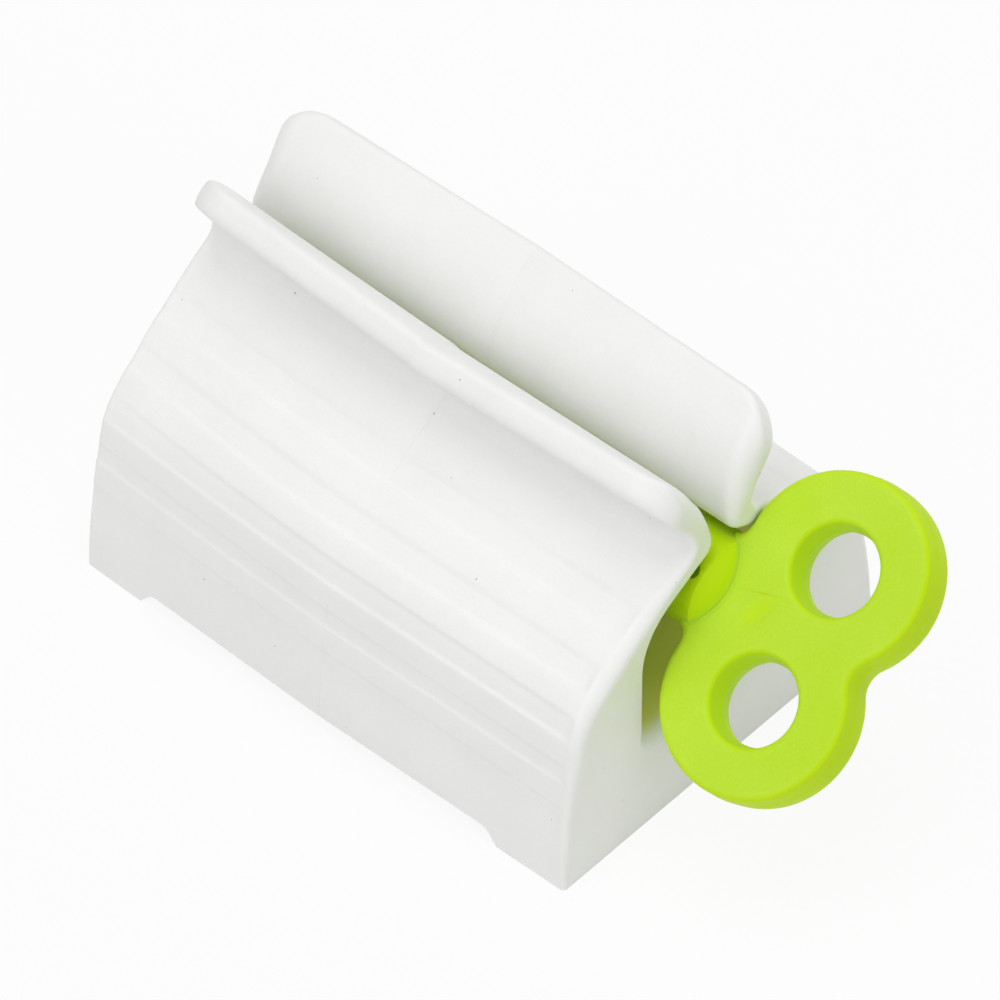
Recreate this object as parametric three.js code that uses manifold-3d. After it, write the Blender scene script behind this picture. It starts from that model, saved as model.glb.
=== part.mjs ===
// Toothpaste tube squeezer: a moulded stand with a feed slot, and a winding key with a split shaft.
// Millimetres, +Z up. The key's axis runs along X, and its handle stands out of the +X end.
import * as THREE from "three";
import { mergeVertices } from "three/addons/utils/BufferGeometryUtils.js";
import Module from "manifold-3d";

const wasm = await Module();
wasm.setup();

// Stand, overall
const bodyLength = 53;
const baseDepth = 38;
const mouldDraft = THREE.MathUtils.degToRad(1);
const endEdgeRadius = 0.7;
const endLean = THREE.MathUtils.degToRad(0.8);
const endWall = 2.4;

// Stand, outer side: a steep lower face, a rounded shoulder and a sloping upper face up to the neck
const shoulderHeight = 18.2;
const shoulderInset = 2.1;
const shoulderBlend = 2.6;
const lowerFaceBulge = 0.5;
const upperFaceBulge = 0.7;
const neckHeight = 28.4;
const neckFillet = 1.6;

// Stand, feed slot between the two flared lips, which lean out more at mid-length than at the ends
const throatGap = 1.8;
const throatHeight = 26.2;
const lipThickness = 2.8;
const lipReach = 10;
const lipFlareMiddle = THREE.MathUtils.degToRad(52.5);
const lipFlareEnds = THREE.MathUtils.degToRad(42.5);
const lipCornerRadius = 4;

// Stand, winding chamber under the slot
const chamberWidth = 18.2;
const chamberFloor = 10.5;
const chamberCorner = 1.2;
const mouthEdge = 0.35;
const eaveCorner = 3.2;
const roofSlope = THREE.MathUtils.degToRad(30);

// Stand, cored underside, feet and flutes
const skinWall = 2.3;
const coreHeight = 17.5;
const coreCorner = 1.4;
const footLength = 6.5;
const footHeight = 1.95;
const footSlope = 1.95;
const fluteWidth = 2;
const fluteDepth = 0.16;
const fluteHeights = [8.4, 12.6, 17.1, 20.7, 24];

// Key
const keyHeight = 21.3;
const keyTilt = THREE.MathUtils.degToRad(38.3);
const keyClearance = 0.35;
const shaftRadius = 4.45;
const shaftTipRadius = 4.1;
const shaftTipInset = 1.5;
const shaftTipEdge = 0.8;
const collarReach = 0.1;
const collarDomeRadius = 6;
const slitWidth = 1.4;
const slitInset = 0.4;
const handleGap = 0.4;
const lobeRadius = 8.2;
const lobeSpacing = 12.3;
const fingerHole = 7.35;
const handleThickness = 4.45;
const handleEdgeRadius = 0.8;
const handleDraft = THREE.MathUtils.degToRad(2);
const waistFillet = 2.2;
const collarFillet = 0.9;

// Facets of curves, and how far a cut runs past the face that it opens
const curveSteps = 7;
const roundSteps = 40;
const edgeSteps = 3;
const cornerSteps = 3;
const cutOver = 2;
const weldDistance = 1e-4;

const halfLength = bodyLength / 2;
const partingHalfDepth = baseDepth / 2 + Math.tan(mouldDraft) * halfLength;
const lobeX = halfLength + handleGap + lobeRadius;
const handleEndX = lobeX + lobeRadius;

function toSolid(geometry) {
  const bare = geometry.clone();
  bare.deleteAttribute("normal");
  bare.deleteAttribute("uv");
  const merged = mergeVertices(bare, weldDistance / 10);
  const mesh = new wasm.Mesh({
    numProp: 3,
    vertProperties: merged.attributes.position.array,
    triVerts: new Uint32Array(merged.index.array),
  });
  return new wasm.Manifold(mesh);
}

function toGeometry(solid) {
  const mesh = solid.getMesh();
  const geometry = new THREE.BufferGeometry();
  const positions = new THREE.BufferAttribute(new Float32Array(mesh.vertProperties), 3);
  geometry.setAttribute("position", positions);
  geometry.setIndex(new THREE.BufferAttribute(new Uint32Array(mesh.triVerts), 1));
  geometry.computeVertexNormals();
  return geometry;
}

const axisX = new THREE.Vector3(1, 0, 0);
const axisY = new THREE.Vector3(0, 1, 0);
const axisZ = new THREE.Vector3(0, 0, 1);
const sectionAcrossX = new THREE.Matrix4().makeBasis(axisY, axisZ, axisX);
const sectionAcrossY = new THREE.Matrix4().makeBasis(axisX, axisZ, axisY.clone().negate());

// A closed outline moved inwards, each corner along its mitre
function insetOutline(points, distance) {
  const count = points.length;
  return points.map((point, i) => {
    const before = point.clone().sub(points[(i + count - 1) % count]).normalize();
    const after = points[(i + 1) % count].clone().sub(point).normalize();
    const inwardBefore = new THREE.Vector2(-before.y, before.x);
    const inwardAfter = new THREE.Vector2(-after.y, after.x);
    const mitre = inwardBefore.clone().add(inwardAfter);
    return point.clone().addScaledVector(mitre, distance / (1 + inwardBefore.dot(inwardAfter)));
  });
}

// A closed body through outlines with equal counts of points, each at its place along the body
function loft(rings, places) {
  const positions = rings.flatMap((ring, s) => ring.flatMap((p) => [p.x, p.y, places[s]]));
  const count = rings[0].length;
  const index = [];
  for (let s = 0; s < rings.length - 1; s++) {
    for (let i = 0; i < count; i++) {
      const a = s * count + i;
      const b = s * count + ((i + 1) % count);
      index.push(a, b, b + count, a, b + count, a + count);
    }
  }
  const lastRing = (rings.length - 1) * count;
  THREE.ShapeUtils.triangulateShape(rings[0], []).forEach(([a, b, c]) => {
    index.push(c, b, a, lastRing + a, lastRing + b, lastRing + c);
  });
  const geometry = new THREE.BufferGeometry();
  geometry.setAttribute("position", new THREE.Float32BufferAttribute(positions, 3));
  geometry.setIndex(index);
  return geometry;
}

// A body that is the same on both sides of the parting plane: its anticlockwise outline changes with the
// distance from that plane, and is moved inwards by an inset at each of the stations
function symmetricLoft(outlineAt, half) {
  const otherHalf = half.map(({ at, inset }) => ({ at: -at, inset })).reverse();
  const stations = [...otherHalf, { at: 0, inset: 0 }, ...half];
  const rings = stations.map(({ at, inset }) => insetOutline(outlineAt(Math.abs(at)), inset));
  return loft(rings, stations.map(({ at }) => at));
}

// The stations of a rounded end edge
function edgeStations(end, edgeRadius) {
  const stations = [];
  for (let i = 0; i <= edgeSteps; i++) {
    const turn = ((i / edgeSteps) * Math.PI) / 2;
    const at = end - edgeRadius * (1 - Math.sin(turn));
    stations.push({ at, inset: edgeRadius * (1 - Math.cos(turn)) });
  }
  return stations;
}

function plainPrism(shape, length) {
  const options = { depth: length, bevelEnabled: false, curveSegments: curveSteps };
  return new THREE.ExtrudeGeometry(shape, options).translate(0, 0, -length / 2);
}

// Neighbouring points closer than a hair count as one
function withoutRepeats(points) {
  return points.filter((point, i) => i === 0 || point.distanceTo(points[i - 1]) > weldDistance);
}

// The same points on the other side of the upright axis, in the order that goes on round the outline
function mirrored(points) {
  return points.map((point) => new THREE.Vector2(-point.x, point.y)).reverse();
}

function towards(from, to, distance) {
  return to.clone().sub(from).setLength(distance).add(from);
}

// Draws up to a corner, rounds it and stops a little way along the next edge, at most half-way
function lineRound(path, corner, next, setback) {
  const room = Math.min(corner.distanceTo(path.currentPoint), corner.distanceTo(next)) / 2;
  const start = towards(corner, path.currentPoint, Math.min(setback, room));
  const end = towards(corner, next, Math.min(setback, room));
  path.lineTo(start.x, start.y);
  path.quadraticCurveTo(corner.x, corner.y, end.x, end.y);
}

// Control point of a curve whose middle stands off its chord by the bulge, on the right-hand side
function bulgeControl(from, to, bulge) {
  const along = to.clone().sub(from).normalize();
  const outward = new THREE.Vector2(along.y, -along.x);
  return from.clone().lerp(to, 0.5).addScaledVector(outward, 2 * bulge);
}

// How far a drafted face has moved at a distance from the parting plane
function draftAt(at) {
  return Math.tan(mouldDraft) * at;
}

// The lip's faces are arcs about one centre level with the throat's narrowest place, and its end corner
// is rounded off
function lipAt(at) {
  const flare = THREE.MathUtils.lerp(lipFlareMiddle, lipFlareEnds, at / halfLength);
  const middle = lipReach / flare;
  const straight = halfLength - lipCornerRadius;
  const pastCorner = THREE.MathUtils.clamp(at - straight, 0, lipCornerRadius);
  const cornerDrop = lipCornerRadius - Math.sqrt(lipCornerRadius ** 2 - pastCorner ** 2);
  const centre = new THREE.Vector2((throatGap + lipThickness) / 2 + middle, throatHeight);
  const inner = middle + lipThickness / 2;
  const outer = middle - lipThickness / 2;
  return { centre, middle, inner, outer, tipAngle: (lipReach - cornerDrop) / middle };
}

function onFlare(lip, radius, angle) {
  const reach = new THREE.Vector2(-Math.cos(angle), Math.sin(angle));
  return lip.centre.clone().addScaledVector(reach, radius);
}

function neckAngle(lip) {
  return Math.asin((neckHeight - throatHeight) / lip.outer);
}

function baseAt(at) {
  return new THREE.Vector2(partingHalfDepth - draftAt(at), 0);
}

function shoulderAt(at) {
  return new THREE.Vector2(partingHalfDepth - draftAt(at) - shoulderInset, shoulderHeight);
}

// One outer side of the stand, from the foot to the neck
function sidePoints(at) {
  const base = baseAt(at);
  const shoulder = shoulderAt(at);
  const lip = lipAt(at);
  const neck = onFlare(lip, lip.outer, neckAngle(lip));
  const lower = new THREE.QuadraticBezierCurve(base, bulgeControl(base, shoulder, lowerFaceBulge), shoulder);
  const upper = new THREE.QuadraticBezierCurve(shoulder, bulgeControl(shoulder, neck, upperFaceBulge), neck);
  const lowerShare = 1 - shoulderBlend / lower.getLength();
  const upperFrom = shoulderBlend / upper.getLength();
  const upperTo = 1 - neckFillet / upper.getLength();
  const points = [];
  for (let i = 0; i <= curveSteps; i++) {
    points.push(lower.getPointAt((lowerShare * i) / curveSteps));
  }
  const upperStart = upper.getPointAt(upperFrom);
  const blend = new THREE.QuadraticBezierCurve(points[curveSteps], shoulder, upperStart);
  points.push(...blend.getPoints(curveSteps).slice(1));
  for (let i = 1; i <= curveSteps; i++) {
    points.push(upper.getPointAt(upperFrom + ((upperTo - upperFrom) * i) / curveSteps));
  }
  return points;
}

// Half of the stand's section: up the outer side, over the lip and down the feed slot into the chamber
function halfSection(at) {
  const lip = lipAt(at);
  const tip = onFlare(lip, lip.middle, lip.tipAngle);
  const filletAngle = neckAngle(lip) + neckFillet / lip.outer;
  const neck = onFlare(lip, lip.outer, neckAngle(lip));
  const filletEnd = onFlare(lip, lip.outer, filletAngle);
  const path = new THREE.Path();
  path.moveTo(baseAt(at).x, -cutOver);
  sidePoints(at).forEach((point) => path.lineTo(point.x, point.y));
  path.quadraticCurveTo(neck.x, neck.y, filletEnd.x, filletEnd.y);
  const { x, y } = lip.centre;
  path.absarc(x, y, lip.outer, Math.PI - filletAngle, Math.PI - lip.tipAngle, true);
  path.absarc(tip.x, tip.y, lipThickness / 2, -lip.tipAngle, Math.PI - lip.tipAngle, false);
  path.absarc(x, y, lip.inner, Math.PI - lip.tipAngle, Math.PI, false);
  path.lineTo(throatGap / 2, keyHeight);
  path.lineTo(0, keyHeight);
  return withoutRepeats(path.getPoints(curveSteps));
}

function standSection(at) {
  const right = halfSection(at);
  return right.concat(mirrored(right.slice(0, -1)));
}

// The section is taken twice on the straight part of the lips, then along their rounded corners and round
// the end edge
function standStations() {
  const straight = halfLength - lipCornerRadius;
  const stations = [straight / 2, straight];
  const lastTurn = Math.asin((lipCornerRadius - endEdgeRadius) / lipCornerRadius);
  for (let i = 1; i < cornerSteps; i++) {
    stations.push(straight + lipCornerRadius * Math.sin((lastTurn * i) / cornerSteps));
  }
  return [...stations.map((at) => ({ at, inset: 0 })), ...edgeStations(halfLength, endEdgeRadius)];
}

// The chamber's roof slopes clear the shaft, and the chamber widens by the draft
function chamberOutline(at) {
  const halfWidth = chamberWidth / 2 + draftAt(at);
  const apexRise = (shaftRadius + keyClearance + draftAt(at)) / Math.cos(roofSlope);
  const apex = new THREE.Vector2(0, keyHeight + apexRise);
  const eave = new THREE.Vector2(halfWidth, apex.y - halfWidth * Math.tan(roofSlope));
  const floorCorner = new THREE.Vector2(halfWidth, chamberFloor - draftAt(at));
  const path = new THREE.Path();
  path.moveTo(0, floorCorner.y);
  lineRound(path, floorCorner, eave, chamberCorner);
  lineRound(path, eave, apex, eaveCorner);
  path.lineTo(apex.x, apex.y);
  const right = withoutRepeats(path.getPoints(curveSteps));
  return right.concat(mirrored(right.slice(1, -1)));
}

// The chamber runs through from end to end, and its mouths are eased
function chamberCutter() {
  const stations = [
    { at: halfLength - mouthEdge, inset: 0 },
    { at: halfLength, inset: -mouthEdge },
    { at: halfLength + cutOver, inset: -mouthEdge },
  ];
  return symmetricLoft(chamberOutline, stations).applyMatrix4(sectionAcrossX);
}

// Shallow round flutes along the outer sides, each half of a flute following the draft of its half
function fluteCutters() {
  const radius = (fluteWidth * fluteWidth) / (8 * fluteDepth) + fluteDepth / 2;
  const length = halfLength + 2 * cutOver;
  const side = sidePoints(0);
  const cutters = [];
  for (const height of fluteHeights) {
    const above = side.findIndex((point) => point.y > height);
    const low = side[above - 1];
    const high = side[above];
    const onFace = low.clone().lerp(high, (height - low.y) / (high.y - low.y));
    const outward = new THREE.Vector2(high.y - low.y, low.x - high.x).normalize();
    const centre = onFace.addScaledVector(outward, radius - fluteDepth);
    for (const facing of [1, -1]) {
      for (const end of [1, -1]) {
        const out = new THREE.Vector3(0, facing * outward.x, outward.y);
        const along = new THREE.Vector3(end, 0, 0).addScaledVector(out, -draftAt(1)).normalize();
        const across = new THREE.Vector3().crossVectors(along, out).normalize();
        const upright = new THREE.Vector3().crossVectors(across, along);
        const frame = new THREE.Matrix4().makeBasis(upright, along, across.negate());
        const start = new THREE.Vector3(0, facing * centre.x, centre.y);
        frame.setPosition(start.addScaledVector(along, length / 2 - cutOver));
        cutters.push(new THREE.CylinderGeometry(radius, radius, length, roundSteps).applyMatrix4(frame));
      }
    }
  }
  return cutters;
}

// The underside is cored out between the end walls, below the chamber and up both sides of it
function coreCutter() {
  const foot = new THREE.Vector2(baseAt(0).x - skinWall, -cutOver);
  const topOut = new THREE.Vector2(shoulderAt(0).x - skinWall, coreHeight);
  const topIn = new THREE.Vector2(chamberWidth / 2 + skinWall, coreHeight);
  const ceiling = new THREE.Vector2(topIn.x, chamberFloor - skinWall);
  const path = new THREE.Path();
  path.moveTo(foot.x, foot.y);
  lineRound(path, topOut, topIn, coreCorner);
  lineRound(path, topIn, ceiling, coreCorner);
  path.lineTo(ceiling.x, ceiling.y);
  const right = path.getPoints(curveSteps);
  const shape = new THREE.Shape(right.concat(mirrored(right)));
  return plainPrism(shape, bodyLength - 2 * endWall).applyMatrix4(sectionAcrossX);
}

// Between the corner feet the front and rear edges are raised, with sloping ends
function footNotchCutter() {
  const reach = halfLength - footLength;
  const shape = new THREE.Shape();
  const slope = footSlope / footHeight;
  shape.moveTo(-reach - cutOver * slope, -cutOver);
  shape.lineTo(reach + cutOver * slope, -cutOver);
  shape.lineTo(reach - footSlope, footHeight);
  shape.lineTo(-reach + footSlope, footHeight);
  return plainPrism(shape, baseDepth + 4 * cutOver).applyMatrix4(sectionAcrossY);
}

// The end faces lean in from the foot to the lips
function leanEnds(geometry) {
  const position = geometry.attributes.position;
  for (let i = 0; i < position.count; i++) {
    const leanIn = Math.tan(endLean) * Math.max(position.getZ(i), 0);
    position.setX(i, position.getX(i) * (1 - leanIn / halfLength));
  }
  return geometry;
}

function standBody() {
  const block = symmetricLoft(standSection, standStations()).applyMatrix4(sectionAcrossX);
  let solid = toSolid(leanEnds(block));
  const below = new THREE.BoxGeometry(2 * bodyLength, 2 * baseDepth, 2 * cutOver);
  const cutters = [below.translate(0, 0, -cutOver), chamberCutter(), coreCutter(), footNotchCutter()];
  for (const cutter of [...cutters, ...fluteCutters()]) {
    solid = solid.subtract(toSolid(cutter));
  }
  return toGeometry(solid);
}

// The key is drawn about its own axis, with the handle flat in X and Y

// Two rings side by side, joined by a waist, with fillets where they run into the collar
function handleOutline() {
  const lobeY = lobeSpacing / 2;
  const waistAngle = Math.asin(lobeY / (lobeRadius + waistFillet));
  const waistX = lobeX + (lobeRadius + waistFillet) * Math.cos(waistAngle);
  const filletY = shaftRadius + collarFillet;
  const filletDrop = Math.asin((lobeY - filletY) / (lobeRadius + collarFillet));
  const filletX = lobeX - (lobeRadius + collarFillet) * Math.cos(filletDrop);
  const shape = new THREE.Shape();
  shape.absarc(lobeX, lobeY, lobeRadius, -waistAngle, Math.PI + filletDrop, false);
  shape.absarc(filletX, filletY, collarFillet, filletDrop, -Math.PI / 2, true);
  shape.absarc(filletX, -filletY, collarFillet, Math.PI / 2, -filletDrop, true);
  shape.absarc(lobeX, -lobeY, lobeRadius, Math.PI - filletDrop, 2 * Math.PI + waistAngle, false);
  shape.absarc(waistX, 0, waistFillet, Math.PI + waistAngle, Math.PI - waistAngle, true);
  const points = withoutRepeats(shape.getPoints(curveSteps));
  return points[0].distanceTo(points[points.length - 1]) < weldDistance ? points.slice(0, -1) : points;
}

// A finger hole opens by the draft towards both faces and ends in a rounded rim
function fingerHoleCutter() {
  const half = handleThickness / 2;
  const profile = [new THREE.Vector2(0, -half - cutOver)];
  const rim = [];
  const mouth = fingerHole / 2 + Math.tan(handleDraft) * half;
  for (let i = 0; i <= edgeSteps; i++) {
    const turn = ((i / edgeSteps) * Math.PI) / 2;
    const radius = mouth + handleEdgeRadius * (1 - Math.cos(turn));
    rim.push(new THREE.Vector2(radius, half - handleEdgeRadius * (1 - Math.sin(turn))));
  }
  const outer = mouth + handleEdgeRadius;
  profile.push(new THREE.Vector2(outer, -half - cutOver));
  profile.push(...rim.map((point) => new THREE.Vector2(point.x, -point.y)).reverse());
  profile.push(new THREE.Vector2(fingerHole / 2, 0), ...rim);
  profile.push(new THREE.Vector2(outer, half + cutOver), new THREE.Vector2(0, half + cutOver));
  return new THREE.LatheGeometry(profile, roundSteps).rotateX(Math.PI / 2);
}

// Shaft and collar turned about the key's axis: rounded tip, slight taper, domed collar end
function shaftProfile() {
  const tipX = -halfLength + shaftTipInset;
  const collarX = halfLength + collarReach;
  const domeAngle = Math.asin(shaftRadius / collarDomeRadius);
  const domeCentre = collarX - collarDomeRadius * Math.cos(domeAngle);
  const path = new THREE.Path();
  path.moveTo(0, tipX);
  path.lineTo(shaftTipRadius - shaftTipEdge, tipX);
  path.absarc(shaftTipRadius - shaftTipEdge, tipX + shaftTipEdge, shaftTipEdge, -Math.PI / 2, 0, false);
  path.lineTo(shaftRadius, halfLength);
  path.lineTo(shaftRadius, collarX);
  path.absarc(0, domeCentre, collarDomeRadius, Math.PI / 2 - domeAngle, Math.PI / 2, false);
  const points = withoutRepeats(path.getPoints(curveSteps));
  points[points.length - 1].x = 0;
  return points;
}

// The slit runs in from the tip and has a round end just short of the stand's end
function slitCutter() {
  const half = slitWidth / 2;
  const roundX = halfLength - slitInset - half;
  const shape = new THREE.Shape();
  shape.moveTo(-bodyLength, half);
  shape.lineTo(-bodyLength, -half);
  shape.lineTo(roundX, -half);
  shape.absarc(roundX, 0, half, -Math.PI / 2, Math.PI / 2, false);
  return plainPrism(shape, 4 * shaftRadius);
}

function windingKey() {
  const outline = handleOutline();
  const drafted = (at) => insetOutline(outline, Math.tan(handleDraft) * at);
  const plate = symmetricLoft(drafted, edgeStations(handleThickness / 2, handleEdgeRadius));
  const shaft = new THREE.LatheGeometry(shaftProfile(), roundSteps).rotateZ(-Math.PI / 2);
  let solid = toSolid(plate).add(toSolid(shaft));
  for (const side of [1, -1]) {
    const hole = fingerHoleCutter().translate(lobeX, (side * lobeSpacing) / 2, 0);
    solid = solid.subtract(toSolid(hole));
  }
  return toGeometry(solid.subtract(toSolid(slitCutter())));
}

const standPlastic = new THREE.MeshStandardMaterial({ color: 0xededec, roughness: 0.38, metalness: 0 });
const keyPlastic = new THREE.MeshStandardMaterial({ color: 0xbee537, roughness: 0.32, metalness: 0 });

const stand = new THREE.Mesh(standBody(), standPlastic);
stand.name = "stand_body";

const key = new THREE.Mesh(windingKey(), keyPlastic);
key.name = "winding_key";
key.position.z = keyHeight;
key.rotation.x = keyTilt;

// The origin is under the middle of the whole object, on the surface that it stands on
const squeezer = new THREE.Group();
squeezer.add(stand, key);
squeezer.position.x = (halfLength - handleEndX) / 2;

export default squeezer;
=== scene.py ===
# %% [markdown]
# # A toothpaste tube squeezer
# The object is two plastic mouldings. A white bell-shaped stand has two flared lips at its top, and a
# tube's tail is led down between them into a chamber that runs through the stand. A lime-green key sits
# in that chamber. Its split shaft grips the tail, and its double-ring handle winds it up.
# The lesson draws both mouldings from their cross-sections, gives them their finishes and lights them.

from math import asin, cos, degrees, hypot, pi, radians, sin, sqrt, tan

import bmesh
import bpy
from mathutils import Matrix, Vector


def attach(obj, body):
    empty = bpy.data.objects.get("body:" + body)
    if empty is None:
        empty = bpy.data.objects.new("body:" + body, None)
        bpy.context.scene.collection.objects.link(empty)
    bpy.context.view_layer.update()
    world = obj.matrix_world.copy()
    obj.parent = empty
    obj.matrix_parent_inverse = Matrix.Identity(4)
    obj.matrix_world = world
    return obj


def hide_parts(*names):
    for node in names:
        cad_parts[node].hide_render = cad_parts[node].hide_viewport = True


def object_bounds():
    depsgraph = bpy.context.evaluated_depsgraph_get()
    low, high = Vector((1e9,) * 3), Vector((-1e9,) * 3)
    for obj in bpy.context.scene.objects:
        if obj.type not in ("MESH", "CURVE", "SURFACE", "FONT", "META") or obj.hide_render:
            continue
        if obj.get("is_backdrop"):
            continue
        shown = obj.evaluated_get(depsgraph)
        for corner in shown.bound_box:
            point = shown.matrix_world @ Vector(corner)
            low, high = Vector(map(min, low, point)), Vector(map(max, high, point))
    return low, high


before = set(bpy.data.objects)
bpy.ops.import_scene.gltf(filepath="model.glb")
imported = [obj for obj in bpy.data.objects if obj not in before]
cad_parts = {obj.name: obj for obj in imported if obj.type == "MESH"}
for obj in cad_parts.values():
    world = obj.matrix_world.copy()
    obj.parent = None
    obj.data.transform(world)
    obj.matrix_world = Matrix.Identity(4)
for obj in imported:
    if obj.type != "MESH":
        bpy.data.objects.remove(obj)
cad_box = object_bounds()

# %% [markdown]
# ## Drawing a moulding from its outlines
# A moulding like this one has no plain boxes in it. Its section changes a little from the middle to the
# ends, where every edge is rounded. A box with many loop cuts could be pushed into shape, but the section
# is easier to hold exactly when it is drawn. So a plane is merged to one point, the point is extruded from
# place to place along the outline, and neighbouring outlines are bridged to a skin.


# %% Start a piece and pick its points
def start_piece(name):
    bpy.ops.object.select_all(action="DESELECT")
    bpy.ops.mesh.primitive_plane_add(size=1)
    piece = bpy.context.object
    piece.name = name
    piece.data.name = name
    bpy.ops.object.mode_set(mode="EDIT")
    bpy.ops.mesh.select_mode(type="VERT")
    bpy.ops.mesh.delete(type="VERT")
    return piece


def pick(test):
    shape = bmesh.from_edit_mesh(bpy.context.object.data)
    shape.verts.index_update()
    for vertex in shape.verts:
        vertex.select_set(bool(test(vertex)))
    shape.select_flush_mode()
    bmesh.update_edit_mesh(bpy.context.object.data)


def vertex_count():
    return len(bmesh.from_edit_mesh(bpy.context.object.data).verts)


print("a piece starts from", start_piece.__name__)


# %% Draw outlines and bridge them
def draw_outline(points, closed):
    bpy.ops.mesh.select_all(action="DESELECT")
    bpy.ops.mesh.primitive_plane_add(size=1)
    bpy.ops.mesh.merge(type="CENTER")
    bpy.ops.transform.translate(value=points[0])
    for start, end in zip(points, points[1:]):
        step = [b - a for a, b in zip(start, end)]
        bpy.ops.mesh.extrude_vertices_move(TRANSFORM_OT_translate={"value": step})
    if closed:
        last = vertex_count() - 1
        first = last - len(points) + 1
        pick(lambda vertex: vertex.index in (first, last))
        bpy.ops.mesh.edge_face_add()


def cap_outline(first, count):
    pick(lambda vertex: first <= vertex.index < first + count)
    bpy.ops.mesh.edge_face_add()


def draw_skin(name, outlines, closed=True, caps=(True, True)):
    piece = start_piece(name)
    count = len(outlines[0])
    for number, outline in enumerate(outlines):
        draw_outline(outline, closed)
        if number:
            first = vertex_count() - 2 * count
            pick(lambda vertex: vertex.index >= first)
            bpy.ops.mesh.bridge_edge_loops()
    if caps[0]:
        cap_outline(0, count)
    if caps[1]:
        cap_outline(vertex_count() - count, count)
    bpy.ops.mesh.select_all(action="SELECT")
    bpy.ops.mesh.normals_make_consistent(inside=False)
    bpy.ops.object.mode_set(mode="OBJECT")
    return piece


print("a skin is drawn with", draw_skin.__name__)


# %% Spin a profile, apply a modifier, cut
def turn_profile(name, profile, centre, axis, steps):
    piece = start_piece(name)
    draw_outline(profile, closed=False)
    bpy.ops.mesh.select_all(action="SELECT")
    bpy.ops.mesh.spin(steps=steps, angle=2 * pi, center=centre, axis=axis)
    bpy.ops.mesh.select_all(action="SELECT")
    bpy.ops.mesh.remove_doubles(threshold=0.0005)
    bpy.ops.mesh.normals_make_consistent(inside=False)
    bpy.ops.object.mode_set(mode="OBJECT")
    return piece


def apply_modifier(piece, kind, **settings):
    bpy.ops.object.select_all(action="DESELECT")
    piece.select_set(True)
    bpy.context.view_layer.objects.active = piece
    modifier = piece.modifiers.new(kind.lower(), kind)
    for setting, value in settings.items():
        setattr(modifier, setting, value)
    bpy.ops.object.modifier_apply(modifier=modifier.name)


def cut(piece, cutter, operation="DIFFERENCE"):
    apply_modifier(piece, "BOOLEAN", operation=operation, solver="EXACT", object=cutter)
    bpy.data.objects.remove(cutter, do_unlink=True)


print("solids meet in", cut.__name__)

# %% [markdown]
# ## The stand's section
# Seen from its end the stand is a bell: a steep lower face, a rounded shoulder and a sloping upper face up
# to a neck, and above the neck the two lips that flare outwards. All sizes are millimetres while the piece
# is drawn, with the middle of the stand at the origin. The outline is worked out for one half of the
# section, as a function of the distance from mid-length: the mould's two halves part there, every face
# draws in by one degree from it, and the lips stand up straighter towards the ends.

# %% Sizes of the stand
HALF_LENGTH = 26.5
PARTING_HALF_DEPTH = 19 + tan(radians(1)) * HALF_LENGTH
SHOULDER_HEIGHT, SHOULDER_INSET, SHOULDER_BLEND = 18.2, 2.1, 2.6
LEFT_SHOULDER_DROP, LEFT_SHOULDER_INSET, LEFT_BLEND_LOSS = 1.2, 0.4, 1.4
LOWER_BULGE, UPPER_BULGE = 0.5, 0.6
NECK_HEIGHT, NECK_FILLET, NECK_HALF = 27.9, 1.4, 0.9
THROAT_GAP, THROAT_HEIGHT, THROAT_ROUND = 1.8, 26.2, 2.0
LIP_THICKNESS, LIP_ARC, LIP_REACH, LIP_CORNER = 2.8, 10.0, 11.4, 4.0
LIP_FLARE_MIDDLE, LIP_FLARE_ENDS = radians(52.5), radians(42.5)
CHAMBER_HALF_WIDTH, CHAMBER_FLOOR, CHAMBER_CORNER = 9.1, 10.5, 1.2
EAVE_ROUND, ROOF_SLOPE = 4.0, radians(29)
KEY_HEIGHT, SHAFT_RADIUS, KEY_CLEARANCE = 21.3, 4.45, 0.42
FOOT_BELOW = -2.0


def draft(at):
    return tan(radians(1)) * at


def mix(a, b, share):
    return tuple(p + (q - p) * share for p, q in zip(a, b))


def along(a, b, distance):
    return mix(a, b, distance / hypot(b[0] - a[0], b[1] - a[1]))


def bend(a, control, b, steps):
    shares = [i / steps for i in range(1, steps + 1)]
    return [mix(mix(a, control, t), mix(control, b, t), t) for t in shares]


def bulged(a, b, bulge, steps):
    length = hypot(b[0] - a[0], b[1] - a[1])
    out = ((b[1] - a[1]) / length, (a[0] - b[0]) / length)
    middle = mix(a, b, 0.5)
    return [a] + bend(a, (middle[0] + 2 * bulge * out[0], middle[1] + 2 * bulge * out[1]), b, steps)


def trimmed(points, start, end):
    spans = [hypot(b[0] - a[0], b[1] - a[1]) for a, b in zip(points, points[1:])]
    total, kept, run = sum(spans), [], 0.0
    marks = [start + (total - start - end) * i / 40 for i in range(41)]
    for a, b, span in zip(points, points[1:], spans):
        while marks and marks[0] <= run + span + 1e-9:
            kept.append(mix(a, b, (marks.pop(0) - run) / span))
        run += span
    return kept


print("half depth at the parting plane:", round(PARTING_HALF_DEPTH, 2), "mm")


# %% The lip, the outer side and the chamber in section
def lip_at(at):
    flare = LIP_FLARE_MIDDLE + (LIP_FLARE_ENDS - LIP_FLARE_MIDDLE) * at / HALF_LENGTH
    middle = LIP_ARC / flare
    past = min(max(at - HALF_LENGTH + LIP_CORNER, 0), LIP_CORNER)
    drop = LIP_CORNER - sqrt(LIP_CORNER**2 - past**2)
    centre = ((THROAT_GAP + LIP_THICKNESS) / 2 + middle, THROAT_HEIGHT)
    return centre, middle, (LIP_REACH - drop) / middle


def on_lip(lip, offset, angle):
    (y, z), middle, _ = lip
    return y - (middle + offset) * cos(angle), z + (middle + offset) * sin(angle)


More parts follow.
